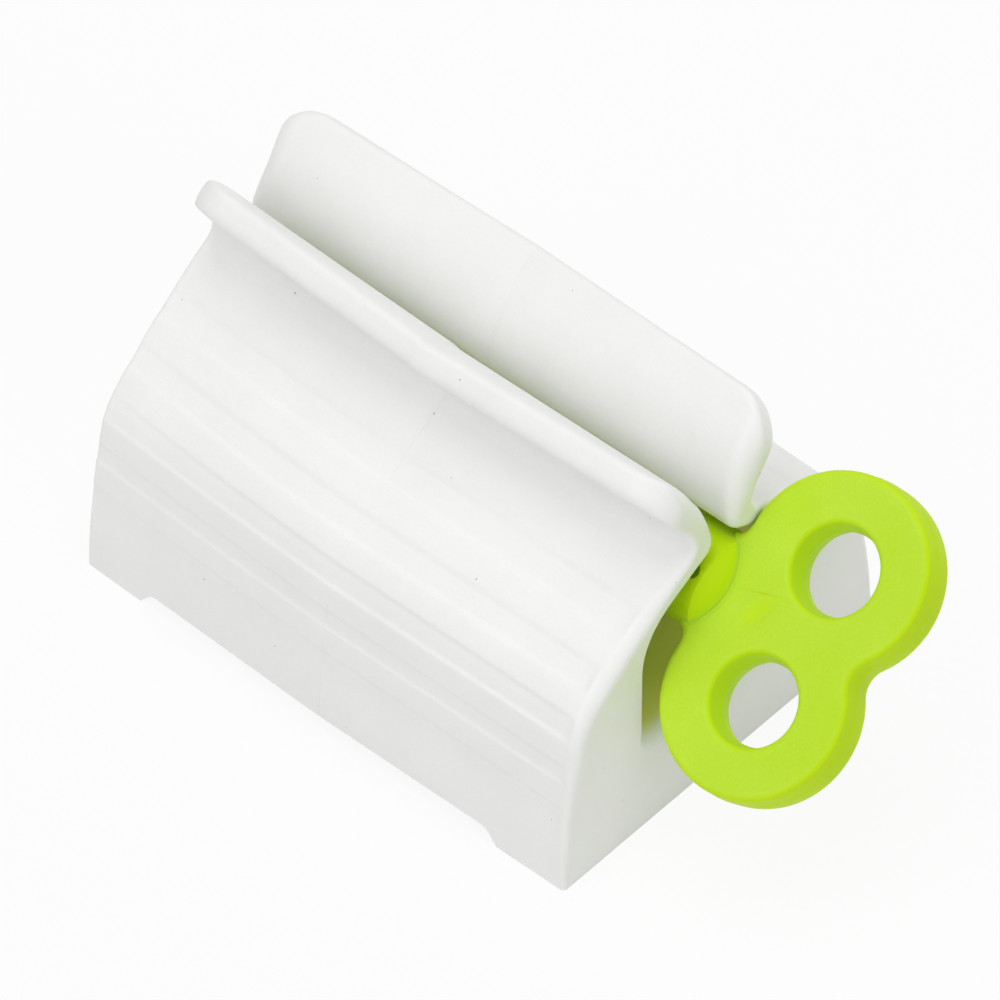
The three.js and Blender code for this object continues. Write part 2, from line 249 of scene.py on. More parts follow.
def side_curve(at, left):
    lip = lip_at(at)
    base = (PARTING_HALF_DEPTH - draft(at), 0.0)
    blend = SHOULDER_BLEND - LEFT_BLEND_LOSS * left
    inset = SHOULDER_INSET + LEFT_SHOULDER_INSET * left
    shoulder = (base[0] - inset, SHOULDER_HEIGHT - LEFT_SHOULDER_DROP * left)
    neck_angle = asin((NECK_HEIGHT - THROAT_HEIGHT) / (lip[1] - NECK_HALF))
    neck = on_lip(lip, -NECK_HALF, neck_angle)
    lower = trimmed(bulged(base, shoulder, LOWER_BULGE, 60), 0, blend)
    upper = trimmed(bulged(shoulder, neck, UPPER_BULGE, 60), blend, NECK_FILLET)
    return lower + bend(lower[-1], shoulder, upper[0], 24)[:-1] + upper, neck, neck_angle


def point_at_height(curve, height):
    for a, b in zip(curve, curve[1:]):
        if a[1] <= height <= b[1]:
            share = (height - a[1]) / (b[1] - a[1])
            slope = hypot(b[0] - a[0], b[1] - a[1])
            return mix(a, b, share), ((b[1] - a[1]) / slope, (a[0] - b[0]) / slope)
    return curve[-1], (0.6, 0.8)


def chamber_path(at, slot_wall):
    half = CHAMBER_HALF_WIDTH + draft(at)
    apex = KEY_HEIGHT + (SHAFT_RADIUS + KEY_CLEARANCE + draft(at)) / cos(ROOF_SLOPE)
    edge = (slot_wall, apex - slot_wall * tan(ROOF_SLOPE))
    eave = (half, apex - half * tan(ROOF_SLOPE))
    corner = (half, CHAMBER_FLOOR - draft(at))
    floor = (0.0, corner[1])
    return edge, eave, corner, floor


print("lip middle radius at mid-length:", round(lip_at(0)[1], 2), "mm")

# %% [markdown]
# ## Flutes
# Five very shallow bands run along each side. They are only about a fifth of a millimetre deep, so each
# one shows as a thin dark line at its upper step and a thin light one at its lower step. A bump map could
# paint those lines, but the steps catch the light properly only if they are in the mesh. The heights of the
# outline's points are therefore laid out so that four of them stand at each step.

# %% Heights of the flutes and of the outline's points
# Lower edge, upper edge and depth of each flute, in millimetres.
FLUTES = [
    (5.6, 9.1, 0.15),
    (11.75, 13.45, 0.15),
    (16.1, 18.05, 0.19),
    (19.95, 21.4, 0.21),
    (23.2, 24.75, 0.21),
]
STEP_HALF, LOWEST_FADE = 0.26, 1.4


def lower_step(low):
    return LOWEST_FADE if low == FLUTES[0][0] else STEP_HALF


def flute_depth(height):
    for low, high, depth in FLUTES:
        inside = min((height - low) / lower_step(low), (high - height) / STEP_HALF)
        if inside > -1:
            share = min((inside + 1) / 2, 1)
            return depth * share * share * (3 - 2 * share)
    return 0.0


def side_heights():
    heights = [0.0, 0.6, 1.9, 3.2]
    for low, high, _ in FLUTES:
        for edge, half in ((low, lower_step(low)), (high, STEP_HALF)):
            heights += [edge - half, edge - half / 3, edge + half / 3, edge + half]
        heights += [(low + high) / 2]
    heights += [10.3, 14.8, 15.4, 17.4, 18.6, 19.2, 22.0, 22.6, 25.4]
    return sorted(heights)


SIDE_HEIGHTS = side_heights()
print(len(SIDE_HEIGHTS), "points up each side")

# %% [markdown]
# ## Rounding of the end edge
# The edge where the sides meet the end faces isn't rounded evenly. On the right it is softest at the upper
# slope, on the left it is nearly sharp. A bevel has one width, so the rounding is kept instead as a list of
# heights and radii, and read at each point's own height.

# %% Radii of the end edge
RIGHT_EDGE = [(0.0, 0.45), (9.0, 0.7), (17.0, 1.1), (21.0, 1.4)]
RIGHT_EDGE += [(24.5, 1.2), (27.0, 0.6), (31.0, 0.45)]
LEFT_EDGE = [(0.0, 0.35), (25.0, 0.4), (29.0, 0.3), (31.0, 0.2)]
INNER_EDGE = [(27.0, 0.8), (29.0, 1.15), (31.5, 1.6), (34.0, 2.0)]
ROOF_EDGE, MOUTH_EDGE, FLOOR_EDGE = 0.75, 0.28, 1.6


def read_marks(marks, height):
    for (low, a), (high, b) in zip(marks, marks[1:]):
        if height <= high:
            return a + (b - a) * max(height - low, 0) / (high - low)
    return marks[-1][1]


print("end edge at the shoulder:", read_marks(RIGHT_EDGE, SHOULDER_HEIGHT), "mm")

# %% [markdown]
# ## Over the lip and down into the chamber
# The lip is thin at its neck and thickens to a bead, which ends in a flat face with two rounded edges. Its
# inner face is an arc that runs down to the throat, rounds over into the chamber's sloping roof, and goes on
# round the chamber to the middle of its floor. Each point of the outline is kept with the rounding that the
# end edge has there.



# %% Points that carry their rounding
def inward(points):
    directions = []
    for i, point in enumerate(points):
        before = points[i - 1] if i else (-points[1][0], points[1][1])
        after = points[i + 1] if i + 1 < len(points) else (-before[0], before[1])
        normals = []
        for a, b in ((before, point), (point, after)):
            length = hypot(b[0] - a[0], b[1] - a[1])
            normals.append((-(b[1] - a[1]) / length, (b[0] - a[0]) / length))
        (p, q), (r, s) = normals
        scale = 1 / (1 + p * r + q * s)
        directions.append(((p + r) * scale, (q + s) * scale))
    return directions


def plain_marks(points, roundings):
    into = inward(points)
    marks = []
    for (y, z), (into_y, into_z), rounding in zip(points, into, roundings):
        marks.append(((y, z), rounding, (y + into_y * rounding, z + into_z * rounding)))
    return marks


print("into a square corner:", inward([(0, 0), (1, 0), (1, 1)])[1])


# %% Up the outer side
def outer_side(at, left, fluted, edge_marks):
    curve, neck, neck_angle = side_curve(at, left)
    points = [(0.0, FOOT_BELOW), (curve[0][0], FOOT_BELOW)]
    for height in SIDE_HEIGHTS:
        (y, z), out = point_at_height(curve, height)
        depth = flute_depth(height) * fluted
        points.append((y - out[0] * depth, z - out[1] * depth))
    top = SIDE_HEIGHTS[-1]
    for share in (0.4, 0.75, 1):
        points.append(point_at_height(curve, top + (curve[-1][1] - top) * share)[0])
    lip = lip_at(at)
    fillet_angle = neck_angle + NECK_FILLET / (lip[1] - NECK_HALF)
    points += bend(points[-1], neck, on_lip(lip, -NECK_HALF, fillet_angle), 8)
    points.append(on_lip(lip, -NECK_HALF, fillet_angle + 0.02))
    return plain_marks(points, [read_marks(edge_marks, z) for _, z in points])[:-1]


print(len(outer_side(0, 0, 1, RIGHT_EDGE)), "points up to the neck")

# %% Over the lip
TIP_OUTER_ROUND, TIP_INNER_ROUND = 1.3, 0.7


def throat_corner(at):
    edge, eave, _, _ = chamber_path(at, THROAT_GAP / 2)
    setback = THROAT_ROUND * tan(pi / 4 - ROOF_SLOPE / 2)
    lip = lip_at(at)
    angle = asin((edge[1] + setback - THROAT_HEIGHT) / (lip[1] + LIP_THICKNESS / 2))
    return angle, on_lip(lip, LIP_THICKNESS / 2, angle), along(edge, eave, setback)


def lip_places(at):
    half, middle = LIP_THICKNESS / 2, lip_at(at)[1]
    neck_reach = asin((NECK_HEIGHT - THROAT_HEIGHT) / (middle - NECK_HALF)) * middle + NECK_FILLET
    throat_reach = throat_corner(at)[0] * middle
    places = []
    for i in range(1, 11):
        share = i / 10
        offset = NECK_HALF + (half - NECK_HALF) * share * share * (3 - 2 * share)
        places.append((-offset, neck_reach + (LIP_REACH - TIP_OUTER_ROUND - neck_reach) * share, 0.0))
    bead = bend(places[-1][:2], (-half, LIP_REACH), (TIP_OUTER_ROUND - half, LIP_REACH), 6)
    bead += [(0.0, LIP_REACH), (half - TIP_INNER_ROUND, LIP_REACH)]
    bead += bend(bead[-1], (half, LIP_REACH), (half, LIP_REACH - TIP_INNER_ROUND), 6)
    places += [(offset, reach, (offset + half) / LIP_THICKNESS) for offset, reach in bead]
    for i in range(1, 17):
        reach = bead[-1][1] + (throat_reach - bead[-1][1]) * i / 16
        places.append((half, reach, 1.0))
    return places, neck_reach, throat_reach


def lip_marks(at, length_at, edge_marks):
    places, neck_reach, throat_reach = lip_places(at)
    marks = []
    for offset, reach, inner_share in places:
        height = on_lip(lip_at(at), offset, reach / lip_at(at)[1])[1]
        outer, inner = read_marks(edge_marks, height), read_marks(INNER_EDGE, height)
        rounding = outer + (inner - outer) * inner_share
        lip = lip_at(length_at(rounding))
        root = neck_reach + (throat_reach - neck_reach) * inner_share
        angle = (root + (lip[2] * lip[1] - root) * (reach - root) / (LIP_REACH - root)) / lip[1]
        narrowed = offset + outer * (1 - inner_share) - inner * inner_share
        marks.append((on_lip(lip, offset, angle), rounding, on_lip(lip, narrowed, angle)))
    return marks


print("lip tip at mid-length:", [round(v, 2) for v in on_lip(lip_at(0), 0, lip_at(0)[2])], "mm")


# %% Round the chamber
def chamber(at):
    edge, eave, corner, floor = chamber_path(at, THROAT_GAP / 2)
    _, throat_start, roof_start = throat_corner(at)
    points = [throat_start] + bend(throat_start, edge, roof_start, 10)
    low_round = read_marks(INNER_EDGE, throat_start[1])
    roundings = [low_round + (ROOF_EDGE - low_round) * i / 10 for i in range(11)]
    roof_end, wall_start = along(eave, edge, EAVE_ROUND), along(eave, corner, EAVE_ROUND)
    points += [mix(roof_start, roof_end, t) for t in (0.33, 0.67, 1)]
    roundings += [ROOF_EDGE] * 3
    points += bend(roof_end, eave, wall_start, 10)
    roundings += [ROOF_EDGE + (MOUTH_EDGE - ROOF_EDGE) * i / 10 for i in range(1, 11)]
    wall_end, floor_start = along(corner, eave, CHAMBER_CORNER), along(corner, floor, CHAMBER_CORNER)
    points += [mix(wall_start, wall_end, t) for t in (0.5, 1)]
    roundings += [MOUTH_EDGE] * 2
    points += bend(wall_end, corner, floor_start, 6)
    roundings += [MOUTH_EDGE + (FLOOR_EDGE - MOUTH_EDGE) * i / 6 for i in range(1, 7)]
    points += [mix(floor_start, floor, t) for t in (0.5, 1)]
    roundings += [FLOOR_EDGE] * 2
    return plain_marks(points, roundings)[1:]


def half_section(at, left, length_at, fluted, edge_marks):
    return outer_side(at, left, fluted, edge_marks) + lip_marks(at, length_at, edge_marks) + chamber(at)


print(len(chamber(0)), "points round half of the chamber")

# %% [markdown]
# ## Outlines from mid-length to the end
# Towards the end the outline is moved into the material along a quarter of a circle, so that the end edge
# is rounded. The lips' inner faces roll over by two millimetres at both ends, and the chamber's mouth is
# rounded a little at its roof and floor and hardly at all at its walls. The flutes fade out where the
# rounding begins. At the left end the lips lean back a little, and towards the right end they grow slightly.

# %% One outline of half of the stand
STRAIGHT = HALF_LENGTH - LIP_CORNER
LEFT_LEAN, LEAN_FROM, LEAN_RISE = 0.4, THROAT_HEIGHT + 1, 4
LIP_GROWTH, GROWTH_FROM, GROWTH_RISE = 0.1, 30, 5


def station_outline(side, share, turn=0.0, fluted=1.0, groove=0.0):
    def length_at(rounding):
        if turn:
            return HALF_LENGTH - rounding * (1 - sin(turn))
        corner = HALF_LENGTH - rounding - STRAIGHT
        return STRAIGHT * min(share, 1) + corner * max(share - 1, 0)

    edge_marks = RIGHT_EDGE if side > 0 else LEFT_EDGE
    at = length_at(MOUTH_EDGE)
    left = (at / HALF_LENGTH) ** 2 if side < 0 else 0.0
    outline = []
    for (y, z), rounding, (end_y, end_z) in half_section(at, left, length_at, fluted, edge_marks):
        inset = 1 - cos(turn) + groove / rounding
        place = mix((y, z), (end_y, end_z), inset)
        length = length_at(rounding)
        growth = LIP_GROWTH * side * length / HALF_LENGTH * max(place[1] - GROWTH_FROM, 0) / GROWTH_RISE
        if side < 0:
            lean = LEFT_LEAN * min(max(place[1] - LEAN_FROM, 0) / LEAN_RISE, 1)
            length *= 1 - lean / HALF_LENGTH
        outline.append((side * length, max(place[0], 0.0) + growth, place[1] + growth))
    outline[0] = (outline[0][0], 0.0, outline[0][2])
    outline[-1] = (outline[-1][0], 0.0, outline[-1][2])
    return outline


print(len(station_outline(1, 0)), "points in each outline")

# %% All outlines from end to end
PARTING_GROOVE, PARTING_HALF_WIDTH = 0.06, 0.09
CORNER_STEPS, EDGE_STEPS = 7, 8


def end_outlines(side, flute_share):
    start, end = flute_share
    drawn = [station_outline(side, PARTING_HALF_WIDTH / STRAIGHT)]
    for share in (0.25, 0.5, 0.75, 1):
        drawn.append(station_outline(side, share, fluted=1 + (start - 1) * share))
    for i in range(1, CORNER_STEPS + 1):
        share = sin(pi / 2 * i / CORNER_STEPS)
        drawn.append(station_outline(side, 1 + share, fluted=start + (end - start) * share**6))
    for i in range(1, EDGE_STEPS + 1):
        drawn.append(station_outline(side, 2, pi / 2 * i / EDGE_STEPS, fluted=end))
    return drawn


left_outlines = end_outlines(-1, (0.75, 0.5))
right_outlines = end_outlines(1, (1.0, 0.0))
outlines = left_outlines[::-1] + [station_outline(1, 0, groove=PARTING_GROOVE)] + right_outlines
print(len(outlines), "outlines from end to end")

# %% [markdown]
# ## From half of the stand to the whole
# The stand is the same front and rear, so one half is bridged and capped, and a mirror modifier makes the
# other. The foot is drawn a little too deep and bisected level, which leaves the crisp lower edge that the
# real one has.

# %% Bridge, mirror and trim the stand
stand = draw_skin("stand_shell", outlines, closed=False)
apply_modifier(stand, "MIRROR", use_axis=(False, True, False), merge_threshold=0.002)
bpy.ops.object.mode_set(mode="EDIT")
bpy.ops.mesh.select_all(action="SELECT")
bpy.ops.mesh.remove_doubles(threshold=0.0008)
bpy.ops.mesh.normals_make_consistent(inside=False)
bpy.ops.mesh.bisect(plane_co=(0, 0, 0), plane_no=(0, 0, 1), use_fill=True, clear_inner=True)
bpy.ops.object.mode_set(mode="OBJECT")
print("stand:", len(stand.data.polygons), "faces,", [round(v, 2) for v in stand.dimensions], "mm")

# %% [markdown]
# ## The lips' mismatch
# The two mould halves don't meet perfectly: the right-hand half of the front lip stands a sixth of a
# millimetre further out, and a tiny step shows in the lip's edge at mid-length. The points of that half of
# the lip are picked by their place and moved.

# %% Move one half of the front lip
LIP_MISMATCH = 0.16
bpy.ops.object.mode_set(mode="EDIT")
pick(lambda v: v.co.x > PARTING_HALF_WIDTH / 2 and v.co.y < -1.5 and v.co.z > 31.5)
bpy.ops.transform.translate(value=(0, -LIP_MISMATCH, 0))
bpy.ops.object.mode_set(mode="OBJECT")
print("front lip moved by", LIP_MISMATCH, "mm")

# %% [markdown]
# ## Underside and feet
# The stand is hollow below the chamber, as a moulding with even walls has to be, and its long lower edges
# are raised between four corner feet. Both are cut with a boolean, because they cross the skin that is
# already drawn.


# %% Cut the core
def rounded(corners, setbacks, steps=6):
    drawn = []
    for i, corner in enumerate(corners):
        before, after = corners[i - 1], corners[(i + 1) % len(corners)]
        if not setbacks[i]:
            drawn.append(corner)
            continue
        start, end = along(corner, before, setbacks[i]), along(corner, after, setbacks[i])
        drawn += [start] + bend(start, corner, end, steps)
    return drawn


SKIN_WALL, END_WALL, CORE_HEIGHT = 2.3, 2.4, 17.5
out_foot = PARTING_HALF_DEPTH - SKIN_WALL
out_top = out_foot - SHOULDER_INSET
in_wall = CHAMBER_HALF_WIDTH + SKIN_WALL
ceiling = CHAMBER_FLOOR - SKIN_WALL
core_half = [(out_foot, FOOT_BELOW), (out_top, CORE_HEIGHT), (in_wall, CORE_HEIGHT), (in_wall, ceiling)]
core_corners = core_half + [(-y, z) for y, z in reversed(core_half)]
core_section = rounded(core_corners, [0, 1.4, 1.4, 0.8, 0.8, 1.4, 1.4, 0])
core_ends = (END_WALL - HALF_LENGTH, HALF_LENGTH - END_WALL)
core = draw_skin("core", [[(x, y, z) for y, z in core_section] for x in core_ends])
cut(stand, core)
print("core:", [round(2 * v, 1) for v in (core_ends[1], out_foot)], "mm")

# %% Cut the raised edges between the feet
LEFT_FOOT, RIGHT_FOOT, FOOT_HEIGHT, FOOT_SLOPE = 6.1, 7.2, 1.55, 1.25
notch_left, notch_right = LEFT_FOOT - HALF_LENGTH, HALF_LENGTH - RIGHT_FOOT
run_out = -FOOT_BELOW * FOOT_SLOPE / FOOT_HEIGHT
notch_corners = [(notch_right + run_out, FOOT_BELOW), (notch_right - FOOT_SLOPE, FOOT_HEIGHT)]
notch_corners += [(notch_left + FOOT_SLOPE, FOOT_HEIGHT), (notch_left - run_out, FOOT_BELOW)]
notch_section = rounded(notch_corners, [0, 0.7, 0.7, 0])
notch = draw_skin("notch", [[(x, y, z) for x, z in notch_section] for y in (-24, 24)])
cut(stand, notch)
print("stand with core and feet:", len(stand.data.polygons), "faces")


# %% [markdown]
# ## The key's handle
# The handle is a flat plate of two rings side by side with a waist between them. Its rim is rounded, and the
# mould parts at mid-thickness, where a fine line of flash runs round the rim. The outline is drawn once as
# a function of how far it is moved inwards, so that the plate is a stack of outlines from face to face.

# %% Sizes of the key and the handle's outline
HANDLE_GAP, LOBE_RADIUS, LOBE_SPACING = 0.4, 8.2, 12.3
FINGER_HOLE, HANDLE_THICKNESS, RIM_ROUND = 7.05, 4.45, 0.6
HANDLE_DRAFT, HOLE_DRAFT = tan(radians(2)), tan(radians(7))
WAIST_FILLET, LOBE_STRETCH = 2.2, 0.27
LOBE_X, LOBE_Y = HALF_LENGTH + HANDLE_GAP + LOBE_RADIUS, LOBE_SPACING / 2
KEY_TILT = radians(38.3)
FLASH = 0.03


def arc(centre, radius, start, end, steps):
    turns = [start + (end - start) * i / steps for i in range(steps + 1)]
    return [(centre[0] + radius * cos(t), centre[1] + radius * sin(t)) for t in turns]


def lobe_arc(inset, start, end, steps):
    points = []
    for i in range(steps + 1):
        turn = start + (end - start) * i / steps
        radius = LOBE_RADIUS - inset + LOBE_STRETCH * max(-cos(turn), 0) ** 2
        points.append((LOBE_X + radius * cos(turn), LOBE_Y + radius * sin(turn)))
    return points


def handle_outline(inset):
    lobe, waist = LOBE_RADIUS - inset, WAIST_FILLET + inset
    waist_angle = asin(LOBE_Y / (lobe + waist))
    waist_x = LOBE_X + (lobe + waist) * cos(waist_angle)
    upper = arc((waist_x, 0), waist, pi, pi - waist_angle, 5)
    upper += lobe_arc(inset, -waist_angle, pi + radians(3), 60)[1:]
    meet = upper[-1]
    collar = (meet[0] - 0.9, SHAFT_RADIUS - inset)
    upper += bend(meet, (meet[0] - 0.05, collar[1] + 0.1), collar, 6)
    upper += [(collar[0] - 0.4, collar[1] - 1.5)]
    return upper + [(x, -y) for x, y in reversed(upper[1:])]


print(len(handle_outline(0)), "points round the handle")


# %% Stack the handle's outlines
def rim_levels():
    half = HANDLE_THICKNESS / 2
    levels = [(0.0, -FLASH), (0.09, 0.003)]
    for i in range(7):
        turn = pi / 2 * i / 6
        level = half - RIM_ROUND * (1 - sin(turn))
        levels.append((level, HANDLE_DRAFT * level + RIM_ROUND * (1 - cos(turn))))
    return [(-level, inset) for level, inset in reversed(levels[1:])] + levels


plate_outlines = [[(x, y, level) for x, y in handle_outline(inset)] for level, inset in rim_levels()]
key = draw_skin("lime_key_moulding", plate_outlines)
print("handle plate:", len(key.data.polygons), "faces")

# %% [markdown]
# ## Shaft, collar and dome
# The shaft is turned: a rounded tip, a slight taper, and a collar whose end is domed where it runs into the
# handle. A profile spun about the key's axis gives it, and a boolean joins it to the plate.

# %% Spin the shaft and join it to the handle
TIP_X, TIP_RADIUS, TIP_ROUND, MIDDLE_RADIUS = 1.5 - HALF_LENGTH, 4.1, 0.8, 4.27
COLLAR_X, COLLAR_LENGTH, DOME_RADIUS = HALF_LENGTH + 0.1, 0.12, 6.0
DOME_STEP_LENGTH, DOME_STEP_DEPTH = 0.06, 0.08
dome_angle = asin(SHAFT_RADIUS / DOME_RADIUS)
dome_centre = COLLAR_X - DOME_RADIUS * cos(dome_angle)
shaft_profile = [(TIP_X, 0)]
for turn in (pi / 2, pi / 3, pi / 6, 0):
    back, out = TIP_ROUND * (1 - sin(turn)), TIP_ROUND * (1 - cos(turn))
    shaft_profile.append((TIP_X + back, TIP_RADIUS - out))
shaft_profile += [(0, MIDDLE_RADIUS), (COLLAR_X - COLLAR_LENGTH, SHAFT_RADIUS), (COLLAR_X, SHAFT_RADIUS)]
shaft_profile.append((COLLAR_X + DOME_STEP_LENGTH, SHAFT_RADIUS - DOME_STEP_DEPTH))
for i in range(1, 13):
    turn = dome_angle * (1 - i / 12)
    shaft_profile.append((dome_centre + DOME_RADIUS * cos(turn), DOME_RADIUS * sin(turn)))
shaft = turn_profile("shaft", [(x, 0, r) for x, r in shaft_profile], (0, 0, 0), (1, 0, 0), 72)
cut(key, shaft, "UNION")
print("key with shaft:", len(key.data.polygons), "faces")

# %% [markdown]
# ## Finger holes and slit
# Each finger hole opens slightly towards both faces and ends in a rounded rim. The slit runs up the shaft
# from its tip, goes on as a blind pocket in the upper side and has a round end, which shows as a small dark
# notch in the collar. An inset face could be pushed in for each, but a cutter drawn from the hole's own
# profile keeps its draft and its rim.


# %% Cut the finger holes
def hole_profile():
    half = HANDLE_THICKNESS / 2
    mouth = FINGER_HOLE / 2 + HOLE_DRAFT * half
    rim = []
    for i in range(7):
        turn = pi / 2 * i / 6
        rim.append((mouth + RIM_ROUND * (1 - cos(turn)), half - RIM_ROUND * (1 - sin(turn))))
    rim += [(rim[-1][0], half + 2), (0, half + 2)]
    upper = [(FINGER_HOLE / 2 - FLASH, 0), (FINGER_HOLE / 2 + 0.01, 0.09)] + rim
    return [(r, -z) for r, z in reversed(upper[1:])] + upper


for side in (1, -1):
    centre = (LOBE_X, side * LOBE_Y, 0)
    profile = [(LOBE_X + r, side * LOBE_Y, z) for r, z in hole_profile()]
    cut(key, turn_profile("hole", profile, centre, (0, 0, 1), 72))
print("key with finger holes:", len(key.data.polygons), "faces")

# %% Cut the slit
SLIT_HALF, SLIT_INSET, POCKET_LENGTH, POCKET_FLOOR = 0.7, 0.3, 5.0, 3.0
BEYOND_TIP, BEYOND_SHAFT = -40, 9
pocket_end = HALF_LENGTH - SLIT_INSET - SLIT_HALF
slit_end = pocket_end - POCKET_LENGTH


def slit_section(start, end):
    return [(start, -SLIT_HALF)] + arc((end, 0), SLIT_HALF, -pi / 2, pi / 2, 12) + [(start, SLIT_HALF)]


def upright_cutter(name, section, low, high):
    return draw_skin(name, [[(x, y, z) for x, y in section] for z in (low, high)])


cut(key, upright_cutter("slit", slit_section(BEYOND_TIP, slit_end), -BEYOND_SHAFT, BEYOND_SHAFT))
pocket_section = slit_section(slit_end - POCKET_LENGTH, pocket_end)
cut(key, upright_cutter("pocket", pocket_section, POCKET_FLOOR, BEYOND_SHAFT))
print("key with slit:", len(key.data.polygons), "faces")

# %% [markdown]
# ## The dome's foot
# Where the dome sinks into the handle's two faces, the mould left a fine raised line. It is only a few
# hundredths of a millimetre high, and still catches the light. A small section is drawn at steps along the
# arc, bridged, and joined to the face.


# %% Raise the line round the dome's foot
FACE = HANDLE_THICKNESS / 2
LINE_WIDTH, LINE_HEIGHT, LINE_ROOT, LINE_SWEEP = 0.16, 0.05, 0.2, radians(43)
LINE_CLEAR = 0.1
foot_radius = sqrt(DOME_RADIUS**2 - FACE**2) + LINE_CLEAR


def foot_line_section(turn, face):
    section = [(0, -LINE_ROOT), (0, LINE_HEIGHT), (LINE_WIDTH, LINE_HEIGHT), (LINE_WIDTH, -LINE_ROOT)]
    spread = [(foot_radius + r, FACE + z) for r, z in section]
    return [(dome_centre + r * cos(turn), r * sin(turn), face * z) for r, z in spread]


for face in (1, -1):
    turns = [LINE_SWEEP * (i / 12 - 1) for i in range(25)]
    cut(key, draw_skin("foot_line", [foot_line_section(turn, face) for turn in turns]), "UNION")
print("key:", len(key.data.polygons), "faces")

# %% [markdown]
# ## Putting the pieces in place
# Both mouldings were drawn in millimetres about the stand's middle. The key is tilted about its axis and
# lifted into the chamber. Then each piece is moved to the frame's origin and scaled to metres, and the place
# is applied, so that the objects themselves stay unturned at the origin.

# %% Turn, place and scale the pieces
SHIFT_X = (HALF_LENGTH - LOBE_X - LOBE_RADIUS) / 2
TO_METRES = 0.001
SHARP_ANGLE = radians(38)
key.rotation_euler = (KEY_TILT, 0, 0)
key.location = (0, 0, KEY_HEIGHT)
for piece in (stand, key):
    bpy.ops.object.select_all(action="DESELECT")
    piece.select_set(True)
    bpy.context.view_layer.objects.active = piece
    bpy.ops.object.transform_apply(location=True, rotation=True, scale=True)
    bpy.ops.transform.translate(value=(SHIFT_X, 0, 0))
    bpy.ops.transform.resize(value=[TO_METRES] * 3, center_override=(0, 0, 0))
    bpy.ops.object.transform_apply(location=True, rotation=True, scale=True)
    bpy.ops.object.shade_smooth_by_angle(angle=SHARP_ANGLE)
    apply_modifier(piece, "WEIGHTED_NORMAL", keep_sharp=True, weight=50)
    print(piece.name, [round(v / TO_METRES, 2) for v in piece.dimensions], "mm")

# %% [markdown]
# ## Riding on the frame
# The visual pieces take the places of the two CAD solids: the stand stays, and the key turns with its joint.

# %% Tie the pieces to the frame
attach(stand, "stand")
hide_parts("stand_body")
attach(key, "key")
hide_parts("winding_key")
print("tied:", stand.name, key.name)

# %% [markdown]
# ## Moulded plastic
# Both pieces are polypropylene with a satin skin. What the two finishes share goes into one node group: a
# cloudy change of tone from the flow of the melt, a fine grain in the surface, and sparse dust specks. The
# shader itself stays in each material, and takes the group's varying values.


# %% Nodes by kind and value
def add_node(tree, kind, **inputs):
    node = tree.nodes.new(kind)
    for name, value in inputs.items():
        node.inputs[name.replace("_", " ")].default_value = value
    return node


def add_math(tree, operation, first, second=None):
    node = tree.nodes.new("ShaderNodeMath")
    node.operation = operation
    tree.links.new(first, node.inputs[0])
    if second:
        tree.links.new(second, node.inputs[1])
    return node.outputs["Value"]


print("nodes are added with", add_node.__name__, "and", add_math.__name__)

# %% The shared node group
CLOUD_SCALE, GRAIN_SCALE = 140.0, 5200.0
SPECK_SIZE, SPECK_CHANCE = 0.055, 0.5


def moulded_skin_group():
    tree = bpy.data.node_groups.new("moulded_skin", "ShaderNodeTree")
    for name, kind in (("Vector", "NodeSocketVector"), ("Speck Scale", "NodeSocketFloat")):
        tree.interface.new_socket(name, in_out="INPUT", socket_type=kind)
    for name in ("Cloud", "Grain", "Specks"):
        tree.interface.new_socket(name, in_out="OUTPUT", socket_type="NodeSocketFloat")
    enter, leave = tree.nodes.new("NodeGroupInput"), tree.nodes.new("NodeGroupOutput")
    cloud = add_node(tree, "ShaderNodeTexNoise", Scale=CLOUD_SCALE, Detail=3.0, Roughness=0.55)
    grain = add_node(tree, "ShaderNodeTexNoise", Scale=GRAIN_SCALE, Detail=2.0, Roughness=0.6)
    speck = tree.nodes.new("ShaderNodeTexVoronoi")
    chance = tree.nodes.new("ShaderNodeSeparateColor")
    size = add_node(tree, "ShaderNodeMapRange", From_Min=SPECK_CHANCE, To_Max=SPECK_SIZE)
    for node in (cloud, grain, speck):
        tree.links.new(enter.outputs["Vector"], node.inputs["Vector"])
    tree.links.new(enter.outputs["Speck Scale"], speck.inputs["Scale"])
    tree.links.new(speck.outputs["Color"], chance.inputs["Color"])
    tree.links.new(chance.outputs["Red"], size.inputs["Value"])
    dot = add_math(tree, "LESS_THAN", speck.outputs["Distance"], size.outputs["Result"])
    tree.links.new(cloud.outputs["Fac"], leave.inputs["Cloud"])
    tree.links.new(grain.outputs["Fac"], leave.inputs["Grain"])
    tree.links.new(dot, leave.inputs["Specks"])
    return tree


moulded_skin = moulded_skin_group()
print("node group:", moulded_skin.name)


# %% A finish from the group
GRAIN_DEPTH, GLOW_DEPTH = 0.00002, 0.0015
MOTTLE_LOW, MOTTLE_HIGH = 0.72, 1.28


def mix_colours(tree, factor, first, second):
    node = tree.nodes.new("ShaderNodeMix")
    node.data_type = "RGBA"
    tree.links.new(factor, node.inputs["Factor"])
    for name, colour in (("A", first), ("B", second)):
        if isinstance(colour, tuple):
            node.inputs[name].default_value = (*colour, 1)
        else:
            tree.links.new(colour, node.inputs[name])
    return node


